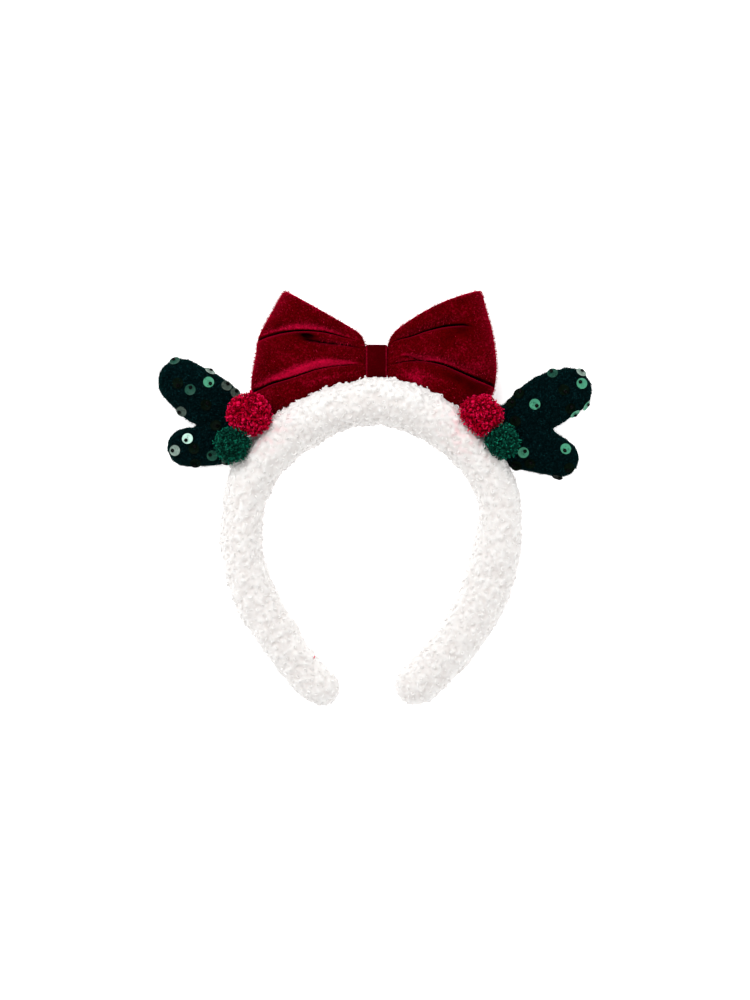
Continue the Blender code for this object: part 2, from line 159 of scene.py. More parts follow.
def speckle(tree, size, detail=2.0, roughness=0.6):
    """Noise on Object coordinates whose grains are about that size in metres."""
    place = add(tree, "ShaderNodeTexCoord").outputs["Object"]
    inputs = {"Vector": place, "Scale": 1 / size, "Detail": detail, "Roughness": roughness}
    return add(tree, "ShaderNodeTexNoise", inputs).outputs["Fac"]


def roughen(tree, shader, height, depth):
    """Feeds a bump of that depth in metres to the shader."""
    bump = add(tree, "ShaderNodeBump", {"Height": height, "Strength": 1.0, "Distance": depth})
    tree.links.new(bump.outputs["Normal"], shader.inputs["Normal"])


# %% [markdown]
# The floor is plain white paper: a matte diffuse surface that also glows, so it looks white in the picture.
# It lies a hair below the headband, so no face of it lies in the same plane.

# %% Floor
FLOOR_SIZE = 8
FLOOR_GAP = 0.2 * MM
PAPER_GLOW = 0.6


def select_only(*objects):
    bpy.ops.object.select_all(action="DESELECT")
    for obj in objects:
        obj.select_set(True)
    bpy.context.view_layer.objects.active = objects[0]


bpy.ops.object.select_all(action="DESELECT")
bpy.ops.mesh.primitive_plane_add(size=FLOOR_SIZE, location=(0, 0, -FLOOR_GAP))
floor = bpy.context.object
floor.name = "floor"
paper = new_material(
    "white_backdrop_paper",
    Base_Color=linear("#fdfdfd"),
    Roughness=1.0,
    Specular_IOR_Level=0.0,
    Emission_Color=linear("#ffffff"),
    Emission_Strength=PAPER_GLOW,
)[0]
floor.data.materials.append(paper)

# %% [markdown]
# Boucle fleece is loops of off-white acrylic yarn, dull with a faint sheen. Light goes deep between the loops
# and comes back warm, so the pile lets light travel below its surface. That brightens it, and its own colour
# is a warm grey, painted a little darker at the foot of the pile as painted shade. The single loops on top
# are too thin for that, so the same yarn is painted nearly white there, a painted brightening, and a little
# darker at their foot as painted shade too. One attribute says where a painted reflection of the red pompoms
# tints the yarn.

# %% Boucle fleece material
# One fibre is far finer than a pixel, so the bump of yarn is drawn as coarse as it needs to show
FIBRE = 0.7 * MM
FIBRE_DEPTH = 0.2 * MM
LIGHT_TRAVEL = 1.4 * MM


def fleece_material(name, foot, tip, glow_through):
    """Off-white yarn, painted darker at its foot than at its tip as painted shade. glow_through is how much
    light travels below its surface.
    """
    material, tree, shader = new_material(
        name,
        Roughness=0.95,
        Specular_IOR_Level=0.1,
        Sheen_Weight=0.15,
        Sheen_Roughness=0.6,
        Subsurface_Weight=glow_through,
        Subsurface_Radius=(1.0, 0.97, 0.94),
        Subsurface_Scale=LIGHT_TRAVEL,
    )
    foot_shade_colour = ramp(tree, attribute(tree, "tone"), ((0.0, foot), (1.0, tip)))
    # The pink of the painted reflection of the red pompoms
    pink_reflection = add(tree, "ShaderNodeMix", data_type="RGBA")
    tree.links.new(attribute(tree, "pink_reflection"), pink_reflection.inputs["Factor"])
    tree.links.new(foot_shade_colour, pink_reflection.inputs["A"])
    pink_reflection.inputs["B"].default_value = linear("#e8b8bc")
    tree.links.new(pink_reflection.outputs["Result"], shader.inputs["Base Color"])
    roughen(tree, shader, speckle(tree, FIBRE, detail=3.0, roughness=0.7), FIBRE_DEPTH)
    return material


# The loops' yarn is painted lighter than the skin's, a painted brightening of the same yarn
fleece = fleece_material("acrylic_boucle_fleece", "#d5d0cd", "#dcdad8", glow_through=1.0)
fleece_loops = fleece_material("acrylic_boucle_loops", "#eeebe9", "#f4f2f1", glow_through=0.0)

# %% [markdown]
# Velvet is a woven ground with a short upright pile. Seen square on it looks dark, because the light sinks in
# between the fibres, and it glows where the pile leans or turns away. The sheen gives the glow at the edges,
# and the base colour is painted brighter there too, as painted sheen. The attribute "pile" holds painted
# light: above 0 a painted sheen where the cloth turns away, and below 0 the painted shade of a fold. Where it
# glows, its grain shows more.

# %% Velvet material
# The pile is finer than a pixel, so its grain is drawn as coarse as it needs to show
PILE_GRAIN = 1.1 * MM
PILE_DEPTH = 0.25 * MM
PILE_CONTRAST = 2.4
CLOUDS = 11 * MM
CLOUD_STRENGTH = 0.35
FLAT_TONE = 0.35


def velvet_material(name, deep, mid, bright, rim, coarse):
    """Velvet in four tones: painted fold shade, flat, painted sheen, and painted sheen where seen aslant.
    coarse is how much grain shows.
    """
    sheen = {"Sheen_Weight": 0.35, "Sheen_Roughness": 0.3, "Sheen_Tint": linear("#ff0038")}
    material, tree, shader = new_material(name, Roughness=0.9, Specular_IOR_Level=0.0, **sheen)
    grain = speckle(tree, PILE_GRAIN, roughness=0.8)
    grain = add(tree, "ShaderNodeMath", {0: grain, 1: 0.5}, operation="SUBTRACT").outputs[0]
    cloud = speckle(tree, CLOUDS)
    cloud = add(tree, "ShaderNodeMath", {0: cloud, 1: 0.5}, operation="SUBTRACT").outputs[0]
    pile = attribute(tree, "pile")
    inputs = {0: pile, 1: PILE_CONTRAST, 2: coarse}
    contrast = add(tree, "ShaderNodeMath", inputs, operation="MULTIPLY_ADD", use_clamp=True).outputs[0]
    inputs = {0: grain, 1: contrast, 2: pile}
    tone = add(tree, "ShaderNodeMath", inputs, operation="MULTIPLY_ADD").outputs[0]
    inputs = {0: cloud, 1: CLOUD_STRENGTH, 2: tone}
    tone = add(tree, "ShaderNodeMath", inputs, operation="MULTIPLY_ADD").outputs[0]
    tone = add(tree, "ShaderNodeMath", {0: tone, 1: FLAT_TONE}, operation="ADD").outputs[0]
    # Under the deep tone the ramp runs to near black: painted shade deep in a fold
    colour = ramp(tree, tone, ((0.0, "#040000"), (0.2, deep), (0.4, mid), (1.0, bright)))
    # Painted sheen: the base colour turns towards the rim tone where the cloth is seen aslant
    edge = add(tree, "ShaderNodeLayerWeight", {"Blend": 0.25}).outputs["Facing"]
    edge = add(tree, "ShaderNodeMath", {0: edge, 1: 1.5}, operation="POWER").outputs[0]
    glow = add(tree, "ShaderNodeMix", data_type="RGBA")
    tree.links.new(edge, glow.inputs["Factor"])
    tree.links.new(colour, glow.inputs["A"])
    glow.inputs["B"].default_value = linear(rim)
    tree.links.new(glow.outputs["Result"], shader.inputs["Base Color"])
    roughen(tree, shader, grain, PILE_DEPTH)
    return material


velvet = velvet_material("crushed_crimson_velvet", "#380001", "#500003", "#dc0c40", "#a80428", coarse=0.7)
# The knot is the same velvet, given darker tones than the bow
knot_velvet = velvet_material("dark_crimson_velvet", "#2c0002", "#3c0003", "#a00a2c", "#80041c", coarse=0.3)


def fibre_material(name, dark, mid, light):
    """Matte single fibres, whose colour follows the attribute tone."""
    material, tree, shader = new_material(name, Roughness=1.0, Specular_IOR_Level=0.0)
    colour = ramp(tree, attribute(tree, "tone"), ((0.0, dark), (0.6, mid), (1.0, light)))
    tree.links.new(colour, shader.inputs["Base Color"])
    return material


# The pile fibres are painted brighter than the cloth: painted sheen at the outline
velvet_fibre = fibre_material("velvet_pile_fibre", "#680410", "#b00c2c", "#f03860")

# %% [markdown]
# Wool felt is matted fibre with no weave. Dyed nearly black green, it shows as dark ground
# with single lighter fibres across it, which are also painted lighter as a painted sheen at its outline.
# Its fuzz gives a weak sheen.

# %% Felt material
# Wool fibre is finer than a pixel, so its grain and bump are drawn as coarse as they need to show
MATTED_GRAIN = 0.8 * MM
MATTED_BUMP = 0.5 * MM
MATTED_DEPTH = 0.3 * MM

sheen = {"Sheen_Weight": 0.2, "Sheen_Roughness": 0.5, "Sheen_Tint": linear("#2f7068")}
felt, tree, shader = new_material("boiled_wool_felt", Roughness=1.0, Specular_IOR_Level=0.0, **sheen)
grain = speckle(tree, MATTED_GRAIN, detail=4.0, roughness=0.8)
felt_colour = ramp(tree, grain, ((0.30, "#000203"), (0.50, "#01080a"), (0.72, "#0b282b")))
tree.links.new(felt_colour, shader.inputs["Base Color"])
roughen(tree, shader, speckle(tree, MATTED_BUMP, detail=3.0, roughness=0.8), MATTED_DEPTH)

# The loose fibres are lighter than the felt: partly their own colour, partly painted sheen
felt_fibre = fibre_material("loose_felt_fibre", "#000405", "#031113", "#184a4c")

# %% [markdown]
# Pompom yarn is wool cut short. Its tips are bright and its feet lie in deep shade, so the attribute "tone"
# runs from 0 deep in the ball to 1 at the tips.

# %% Yarn materials
YARN_DEPTH = 0.12 * MM


def yarn_material(name, deep, mid, tip):
    """Wool yarn in three tones: deep in the ball, half way out and at its tips."""
    sheen = {"Sheen_Weight": 0.1, "Sheen_Roughness": 0.5, "Sheen_Tint": linear(tip)}
    material, tree, shader = new_material(name, Roughness=0.95, Specular_IOR_Level=0.0, **sheen)
    colour = ramp(tree, attribute(tree, "tone"), ((0.0, deep), (0.45, mid), (1.0, tip)))
    tree.links.new(colour, shader.inputs["Base Color"])
    roughen(tree, shader, speckle(tree, FIBRE), YARN_DEPTH)
    return material


red_yarn = yarn_material("cut_wool_yarn_red", "#480006", "#a4001e", "#f01c5a")
green_yarn = yarn_material("cut_wool_yarn_green", "#02140f", "#0b3c30", "#1a8c6c")

# %% [markdown]
# Sequins are punched from thin polyester film with a metal layer behind a tint. Some took the light and look
# mint, and those that lean away from it look olive and nearly black, so each sequin's film is painted light:
# a painted reflection where it is pale and painted shade where it is dark. Each film has two tones, in soft
# clouds, because its layer is never quite even. The seed beads that hold the sequins are black glass.

# %% Sequin and bead materials
FILM_CLOUDS = 2.5 * MM
GLASS_WAVES = 0.6 * MM
GLASS_DEPTH = 0.02 * MM


def film_material(name, tones, gloss):
    """Film in two tones. gloss is its specular level."""
    material, tree, shader = new_material(name, Roughness=0.4, Specular_IOR_Level=gloss)
    tint = ramp(tree, speckle(tree, FILM_CLOUDS), ((0.3, tones[0]), (0.7, tones[1])))
    tree.links.new(tint, shader.inputs["Base Color"])
    return material


FILMS = {
    "mint": film_material("mint_painted_light_film", ("#3c8468", "#489473"), 0.10),
    "pale": film_material("pale_painted_light_film", ("#a4ccba", "#c0e4d6"), 0.10),
    "silver": film_material("silver_green_painted_light_film", ("#66786f", "#84988e"), 0.10),
    "green": film_material("green_painted_light_film", ("#143c30", "#1a4a3c"), 0.08),
    "grey": film_material("grey_green_painted_light_film", ("#303c36", "#4c5a52"), 0.08),
    "olive": film_material("olive_painted_light_film", ("#010502", "#08140b"), 0.01),
}
bead_glass, tree, shader = new_material(
    "black_seed_bead_glass", Base_Color=linear("#020303"), Roughness=0.25, Specular_IOR_Level=0.04
)
roughen(tree, shader, speckle(tree, GLASS_WAVES), GLASS_DEPTH)
print("materials:", len(bpy.data.materials))

# %% [markdown]
# The padded solids are dressed in one way: a copy of the frame's solid is merged, remeshed into small even
# faces, smoothed and drawn in a little, and then covered. Copying keeps each piece where its solid is.

# %% Helpers for meshes
def apply_modifier(obj, kind, **settings):
    select_only(obj)
    modifier = obj.modifiers.new(kind.lower(), kind)
    for name, value in settings.items():
        setattr(modifier, name, value)
    bpy.ops.object.modifier_apply(modifier=modifier.name)


def copy_of(node, name):
    """A merged copy of a CAD node, to be worked on."""
    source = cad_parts[node]
    mesh = source.data.copy()
    mesh.transform(source.matrix_world)
    mesh.materials.clear()
    obj = new_object(name, mesh)
    select_only(obj)
    bpy.ops.object.mode_set(mode="EDIT")
    bpy.ops.mesh.select_all(action="SELECT")
    bpy.ops.mesh.remove_doubles(threshold=0.001 * MM)
    bpy.ops.object.mode_set(mode="OBJECT")
    return obj


def points_of(obj):
    out = np.empty(len(obj.data.vertices) * 3)
    obj.data.vertices.foreach_get("co", out)
    return out.reshape(-1, 3)


def normals_of(obj):
    out = np.empty(len(obj.data.vertices) * 3)
    obj.data.vertex_normals.foreach_get("vector", out)
    return out.reshape(-1, 3)


def surface_of(mesh):
    """A search tree over the faces of a mesh, to find the nearest place on it or where a ray meets it."""
    return BVHTree.FromPolygons([v.co for v in mesh.vertices], [p.vertices for p in mesh.polygons])


def move_points(obj, points):
    obj.data.vertices.foreach_set("co", np.asarray(points, float).ravel())
    obj.data.update()


def shade_smooth(obj):
    select_only(obj)
    bpy.ops.object.shade_smooth()


def lumps(points, size, seed=0.0):
    """Smooth noise from -1 to 1 whose lumps are about that size."""
    shift = Vector((seed, 2 * seed, 3 * seed))
    return np.array([noise.noise(Vector(p) / size + shift) for p in points])


def soft_core(node, name, grain, sink, swell, lump_size, smoothing):
    """The form under the pile: the solid remeshed, smoothed, drawn in by sink and made lumpy by swell."""
    core = copy_of(node, name)
    apply_modifier(core, "REMESH", mode="VOXEL", voxel_size=grain)
    apply_modifier(core, "SMOOTH", factor=0.5, iterations=smoothing)
    points = points_of(core)
    normals = normals_of(core)
    push = swell * lumps(points, lump_size) - sink
    move_points(core, points + normals * push[:, None])
    shade_smooth(core)
    return core


def set_attribute(obj, name, values):
    layer = obj.data.attributes.new(name, "FLOAT", "POINT")
    layer.data.foreach_set("value", np.asarray(values, np.float32))


def finish_piece(obj, material, slot, *nodes):
    """Gives a piece its finish, lets it ride on the frame and hides the solids that it stands for."""
    obj.data.materials.append(material)
    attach(obj, "root")
    if nodes:
        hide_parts(*nodes)
    count = sum(len(p.vertices) - 2 for p in obj.data.polygons)
    print(obj.name, "triangles:", count)


# %% [markdown]
# A loop or a cut end of yarn is a few bends of it. One is made with the Screw modifier, as a spring is:
# a small ring of points is turned round an axis while it climbs. Three shapes are enough, since each copy
# gets its own size and turn. The copies are joined in one mesh, which costs far less than separate objects.

# %% One yarn curl
YARN_SIDES = 4


def yarn_curl(loop, yarn, turns, climb, steps):
    """Points and faces of one curl of yarn: loop and yarn are radii, climb is its height in a turn."""
    bpy.ops.object.select_all(action="DESELECT")
    bpy.ops.mesh.primitive_circle_add(
        vertices=YARN_SIDES, radius=yarn, location=(loop, 0, 0), rotation=(math.pi / 2, 0, 0)
    )
    curl = bpy.context.object
    bpy.ops.object.transform_apply(location=True, rotation=True)
    apply_modifier(
        curl,
        "SCREW",
        angle=turns * 2 * math.pi,
        screw_offset=climb * turns,
        steps=steps,
        render_steps=steps,
        use_merge_vertices=False,
        use_smooth_shade=True,
    )
    bpy.ops.object.mode_set(mode="EDIT")
    bpy.ops.mesh.select_all(action="SELECT")
    bpy.ops.mesh.fill_holes(sides=0)
    bpy.ops.mesh.select_all(action="SELECT")
    bpy.ops.mesh.normals_make_consistent(inside=False)
    bpy.ops.object.mode_set(mode="OBJECT")
    points = points_of(curl)
    points -= points.mean(axis=0)
    faces = [tuple(p.vertices) for p in curl.data.polygons]
    bpy.data.objects.remove(curl, do_unlink=True)
    return points, faces


# %% [markdown]
# Tufts and curls have to be spread evenly but not in rows. Many random places are tried, and one is kept
# only if no kept place is too near: a grid of cells makes that test quick.

# %% Spread places over a surface
def random_places(obj, count_for, rng):
    """Random places and normals all over a mesh. count_for gives their number from its area."""
    obj.data.calc_loop_triangles()
    triangles = np.array([t.vertices[:] for t in obj.data.loop_triangles])
    points, normals = points_of(obj), normals_of(obj)
    a, b, c = (points[triangles[:, k]] for k in range(3))
    area = np.linalg.norm(np.cross(b - a, c - a), axis=1) / 2
    count = count_for(area.sum())
    corners = triangles[rng.choice(len(area), count, p=area / area.sum())]
    u, v = rng.random(count), rng.random(count)
    fold = u + v > 1
    u[fold], v[fold] = 1 - u[fold], 1 - v[fold]
    weights = np.stack([1 - u - v, u, v], axis=1)[:, :, None]
    places = (points[corners] * weights).sum(axis=1)
    turns = (normals[corners] * weights).sum(axis=1)
    return places, turns / np.linalg.norm(turns, axis=1)[:, None]


def spread_places(obj, spacing, rng, tries=9):
    """Places and normals spread over a mesh, about that far apart."""
    places, normals = random_places(obj, lambda area: int(tries * area / spacing**2), rng)
    cells, kept = {}, []
    for i, p in enumerate(places):
        key = tuple((p // spacing).astype(int))
        near = [j for dx in (-1, 0, 1) for dy in (-1, 0, 1) for dz in (-1, 0, 1)
                for j in cells.get((key[0] + dx, key[1] + dy, key[2] + dz), ())]
        if all(((places[j] - p) ** 2).sum() > spacing**2 for j in near):
            cells.setdefault(key, []).append(i)
            kept.append(i)
    return places[kept], normals[kept]


def random_turns(count, rng):
    """As many random rotation matrices, as one array."""
    q = rng.normal(size=(count, 4))
    q /= np.linalg.norm(q, axis=1)[:, None]
    w, x, y, z = q.T
    rows = [
        [1 - 2 * (y * y + z * z), 2 * (x * y - z * w), 2 * (x * z + y * w)],
        [2 * (x * y + z * w), 1 - 2 * (x * x + z * z), 2 * (y * z - x * w)],
        [2 * (x * z - y * w), 2 * (y * z + x * w), 1 - 2 * (x * x + y * y)],
    ]
    return np.array(rows).transpose(2, 0, 1)


def joined_copies(name, shapes, which, places, turns, sizes):
    """One mesh of many turned and scaled copies, and the copy that owns each of its points."""
    all_points, all_loops, all_starts, owner = [], [], [], []
    point_count = loop_count = 0
    for index, (points, faces) in enumerate(shapes):
        mine = np.flatnonzero(which == index)
        turned = np.einsum("nij,pj->npi", turns[mine], points) * sizes[mine][:, None, None]
        loops = np.concatenate([np.array(f) for f in faces])
        lengths = np.array([len(f) for f in faces])
        starts = np.concatenate([[0], np.cumsum(lengths)[:-1]])
        first_points = point_count + np.arange(len(mine)) * len(points)
        first_loops = loop_count + np.arange(len(mine)) * len(loops)
        all_points.append((turned + places[mine][:, None, :]).reshape(-1, 3))
        all_loops.append((loops[None, :] + first_points[:, None]).ravel())
        all_starts.append((starts[None, :] + first_loops[:, None]).ravel())
        owner.append(np.repeat(mine, len(points)))
        point_count += len(mine) * len(points)
        loop_count += len(mine) * len(loops)
    mesh = bpy.data.meshes.new(name)
    mesh.vertices.add(point_count)
    mesh.loops.add(loop_count)
    mesh.polygons.add(sum(len(s) for s in all_starts))
    mesh.vertices.foreach_set("co", np.concatenate(all_points).ravel())
    mesh.loops.foreach_set("vertex_index", np.concatenate(all_loops).astype(np.int32))
    mesh.polygons.foreach_set("loop_start", np.concatenate(all_starts).astype(np.int32))
    mesh.polygons.foreach_set("use_smooth", np.ones(len(mesh.polygons), bool))
    mesh.update(calc_edges=True)
    return new_object(name, mesh), np.concatenate(owner)


# %% [markdown]
# Loose fibres give velvet, felt and pompoms their soft outline. Each is a narrow strip that starts in the
# surface and leans over: two faces where it arches and one where it is a stiff bristle. A hair system would
# do this too, but the export keeps only meshes. Real fibres are finer than a pixel, so these are wider.

# %% Loose fibres
# The bends of a fibre. Columns: share of the way along it, share of its rise lost there
ARCHED = ((-0.1, 0.0), (0.55, 0.0), (1.0, 0.35))
BRISTLE = ((-0.1, 0.0), (1.0, 0.1))


def fibres(name, core, per_square_mm, length, width, rise, rng, bends=ARCHED, keep=None):
    """Strips on a core: rise 1 stands straight up and 0 lies flat. Their tone is random, and painted darker
    at the foot as painted shade.

    keep, where it is given, says which places get a strip.
    """
    places, normals = random_places(core, lambda area: int(per_square_mm * area / MM**2), rng)
    if keep:
        kept = keep(places)
        places, normals = places[kept], normals[kept]
    count = len(places)
    aside = np.cross(normals, rng.normal(size=(count, 3)))
    aside /= np.linalg.norm(aside, axis=1)[:, None]
    across = np.cross(normals, aside) * width / 2
    reach = (length * rng.uniform(0.5, 1.2, count))[:, None]
    lean = np.clip(rise * rng.uniform(0.4, 1.6, count), 0, 1)[:, None]
    rows = []
    for along, droop in bends:
        middle = places + reach * along * (normals * lean * (1 - droop) + aside * np.sqrt(1 - lean**2))
        rows += [middle - across, middle + across]
    points = np.stack(rows, axis=1).reshape(-1, 3)
    corners = 2 * len(bends)
    faces = np.array([[k, k + 1, k + 3, k + 2] for k in range(0, corners - 2, 2)])
    mesh = bpy.data.meshes.new(name)
    corner_numbers = faces[None] + (np.arange(count) * corners)[:, None, None]
    mesh.from_pydata(points.tolist(), [], corner_numbers.reshape(-1, 4).tolist())
    obj = new_object(name, mesh)
    tone = rng.random(count)[:, None] ** 1.5 * np.linspace(0.6, 1.0, corners)
    set_attribute(obj, "tone", tone.ravel())
    return obj


# %% [markdown]
# The band is foam wound in boucle fleece. A fur simulation could cover it, but hair doesn't make closed loops
# and isn't kept by an export. So a core is drawn in by the height of the pile, and real tufts will cover it.

# %% Fleece core
SEED = 11

rng = np.random.default_rng(SEED)
core = soft_core(
    "fleece_band", "fleece_core",
    grain=2.0 * MM, sink=1.1 * MM, swell=1.1 * MM, lump_size=9.0 * MM, smoothing=2,
)
core_surface = surface_of(core.data)
print("core points:", len(core.data.vertices))

# %% [markdown]
# The pile of boucle is small tufts, each a knot of loops. From an arm's length a tuft reads as a round lump,
# so a sphere of few faces is enough for it, with its points pushed about. Four of them are made.

# %% Tufts
TUFT_LUMPS = 0.75
TUFT_SWELL = 0.38
TUFT_SEEDS = (1.3, 4.1, 7.7, 9.2)


def tuft(seed, rng):
    """Points and faces of a lumpy ball of radius 1."""
    bpy.ops.object.select_all(action="DESELECT")
    bpy.ops.mesh.primitive_ico_sphere_add(subdivisions=2, radius=1)
    ball = bpy.context.object
    bpy.ops.transform.resize(value=tuple(rng.uniform(0.8, 1.15, 3)))
    bpy.ops.object.transform_apply(location=True, rotation=True, scale=True)
    points = points_of(ball)
    points *= 1 + TUFT_SWELL * lumps(points, TUFT_LUMPS, seed)[:, None]
    faces = [tuple(f.vertices) for f in ball.data.polygons]
    bpy.data.objects.remove(ball, do_unlink=True)
    return points, faces


def cover(name, places, normals, shapes, lift, size, reach, rng):
    """Shapes set on a surface. lift and size are ranges, and over reach the tone runs from foot to tip."""
    count = len(places)
    raised = places + normals * rng.uniform(*lift, count)[:, None]
    sizes = rng.uniform(*size, count)
    which = rng.integers(0, len(shapes), count)
    obj, owner = joined_copies(name, shapes, which, raised, random_turns(count, rng), sizes)
    height = ((points_of(obj) - places[owner]) * normals[owner]).sum(axis=1)
    tone = np.clip((height - reach[0]) / (reach[1] - reach[0]), 0, 1)
    set_attribute(obj, "tone", 0.8 * tone + 0.2 * rng.random(count)[owner])
    return obj


# %% [markdown]
# Beside the red pompoms the fleece is painted faintly pink in patches: a painted reflection of their red
# light.
# The tint is an attribute of the points, from 0 to 1, and the fleece's materials mix it in.

# %% Tint of the fleece
PINK_REFLECTION_START = 12 * MM
PINK_REFLECTION_FADE = 16 * MM
PINK_REFLECTION_PATCH = 3 * MM
PINK_REFLECTION_LIMIT = 0.6


def middle_of(node):
    """Middle of the box of a CAD node."""
    low, high = (Vector(corner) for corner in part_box(node))
    return (low + high) / 2


def paint_red_reflection(obj):
    """Paints the fleece pink beside the red pompoms, a painted reflection of their red light. An attribute
    says how much.
    """
    points = points_of(obj)
    middles = [np.array(middle_of(f"pompom_red_{side}")) for side in ("left", "right")]
    away = np.min([np.linalg.norm(points - middle, axis=1) for middle in middles], axis=0)
    pink_reflection = np.clip(1 - (away - PINK_REFLECTION_START) / PINK_REFLECTION_FADE, 0, 1)
    near = pink_reflection > 0
    pink_reflection[near] *= np.clip(0.1 + 1.2 * lumps(points[near], PINK_REFLECTION_PATCH), 0, PINK_REFLECTION_LIMIT)
    set_attribute(obj, "pink_reflection", pink_reflection)


def keep_above_floor(obj):
    points = points_of(obj)
    points[:, 2] = np.maximum(points[:, 2], 0)
    move_points(obj, points)


# %% [markdown]
# Balls that only cut into each other would leave hard dark lines between them, and real fleece has none.
# So the tufts and the core are melted into one skin by a voxel remesh, which then gets a light smoothing.
# At the crown some tufts stand up over the lower edge of the bow. The remesh drops the tone that cover gives,
# so it is worked out again, from the height over the core.

# %% Fleece pile
TUFT_SPACING = 2.1 * MM
TUFT_RADIUS = (1.5 * MM, 2.0 * MM)
FLEECE_GRAIN = 0.85 * MM
PILE_HEIGHT = 1.4 * MM
# Tufts over the bow: least height, least turn towards the crown, margin below the bow, range of the raise
CROWN_FRONT = 21 * MM
CROWN_TURN = 0.3
CROWN_MARGIN = 2 * MM
CROWN_RAISE = (0.3 * MM, 1.7 * MM)

tufts = [tuft(seed, rng) for seed in TUFT_SEEDS]
places, normals = spread_places(core, TUFT_SPACING, rng)
bow_low, bow_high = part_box("velvet_bow")
over_bow = (places[:, 2] > CROWN_FRONT) & (normals[:, 1] > CROWN_TURN)
over_bow &= places[:, 1] > bow_low[1] - CROWN_MARGIN
over_bow &= (places[:, 0] > bow_low[0]) & (places[:, 0] < bow_high[0])
places[over_bow] += normals[over_bow] * rng.uniform(*CROWN_RAISE, over_bow.sum())[:, None]
print("fleece tufts:", len(places), "over the bow:", over_bow.sum())
band = cover(
    "boucle_band", places, normals, tufts,
    lift=(-0.8 * MM, 0.15 * MM), size=TUFT_RADIUS, reach=(0.0, PILE_HEIGHT), rng=rng,
)
select_only(band, core)
bpy.ops.object.join()
apply_modifier(band, "REMESH", mode="VOXEL", voxel_size=FLEECE_GRAIN)
apply_modifier(band, "SMOOTH", factor=0.5, iterations=2)
keep_above_floor(band)
shade_smooth(band)
# The fleece is painted darker at the foot of the pile, by its height over the core: painted shade
height = np.array([core_surface.find_nearest(v.co)[3] for v in band.data.vertices])
set_attribute(band, "tone", np.clip(height / PILE_HEIGHT, 0, 1))
paint_red_reflection(band)
finish_piece(band, fleece, "boucle_fleece", "fleece_band")

# %% [markdown]
# Single loops of yarn stand out of the tufts, and at the outline they are what tells boucle from plush.
# They are sunk half way into the skin, so that they read as part of it.

# %% Loops of yarn on the tufts
CURL_SPACING = 3.0 * MM
# Radius of the loop, radius of the yarn, turns, climb in a turn, steps
fleece_curls = (
    yarn_curl(0.80 * MM, 0.26 * MM, 1.05, 0.5 * MM, 7),
    yarn_curl(0.60 * MM, 0.28 * MM, 1.35, 0.8 * MM, 7),
    yarn_curl(1.10 * MM, 0.25 * MM, 0.62, 0.9 * MM, 6),
)
places, normals = spread_places(band, CURL_SPACING, rng, tries=5)
print("fleece curls:", len(places))
curls = cover(
    "boucle_curls", places, normals, fleece_curls,
    lift=(-0.15 * MM, 0.30 * MM), size=(0.85, 1.15), reach=(-0.5 * MM, 0.6 * MM), rng=rng,
)
paint_red_reflection(curls)
keep_above_floor(curls)
finish_piece(curls, fleece_loops, "boucle_fleece")

# %% [markdown]
# The bow is one ring of velvet, pinched in the middle so that it makes two loops. A grid is the cloth
# laid flat: its columns run round the ring and its rows from the top edge to the bottom edge. Each
# point is then moved to its place by a formula, and Solidify gives the doubled velvet its thickness.

# %% Bow sizes
KNOT_WIDTH = 11.8 * MM
PINCH_HEIGHT = 13.6 * MM
PINCH_GAP = 0.6 * MM
BOW_WALL = 1.6 * MM
BOW_REACH = 67.0 * MM
BOW_RISE = 39.2 * MM
BOW_PUFF_FRONT = 12.5 * MM
BOW_PUFF_BACK = 8.5 * MM
KNOT_SHOULDER = 0.030
KNOT_TUCK = 0.2 * MM
CLOTH_REST = 0.4 * MM
# Bulge of the top edge of each loop, by side, as a share of BOW_RISE
BOW_ARCH = {-1: 0.0, 1: 0.09}
# The outer end of each loop, by side. Columns: share of the way down, share of BOW_REACH
BOW_ENDS = {
    -1: (
        (0.00, 0.754), (0.15, 0.836), (0.28, 0.915), (0.37, 0.960),
        (0.50, 0.982), (0.75, 1.020), (0.88, 0.985), (1.00, 0.860),
    ),
    1: (
        (0.00, 0.855), (0.16, 0.896), (0.32, 0.941), (0.56, 0.976),
        (0.75, 0.963), (0.83, 0.930), (0.90, 0.865), (1.00, 0.780),
    ),
}

knot_low, knot_high = (Vector(corner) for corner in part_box("bow_knot"))
KNOT_MIDDLE = (knot_low + knot_high) / 2

# %% [markdown]
# A crease in velvet isn't a plain valley. The cloth above it rolls in slowly, and the cloth below starts with
# a lip that hangs over the fold, so the fold itself stays dark, and it is painted darker still, as painted
# shade.
# The slope that rolls in gets a painted sheen. Each table follows one crease from the knot out to the end of
# its loop.

# %% Bow creases
CREASE_DEPTH = 4.6 * MM
CREASE_SLOPE = 0.080
CREASE_FLOOR = 0.013
CREASE_LIP = 0.013
LIP_OVERHANG = 0.5 * MM
PLEAT_WIDTH = 0.5
# Strength of the painted shade in a fold
FOLD_PAINTED_SHADE = 1.1
# Width of the painted sheen above a crease: where it is faint, and what it gains where it is full
GLOW_WIDTH = (0.012, 0.045)
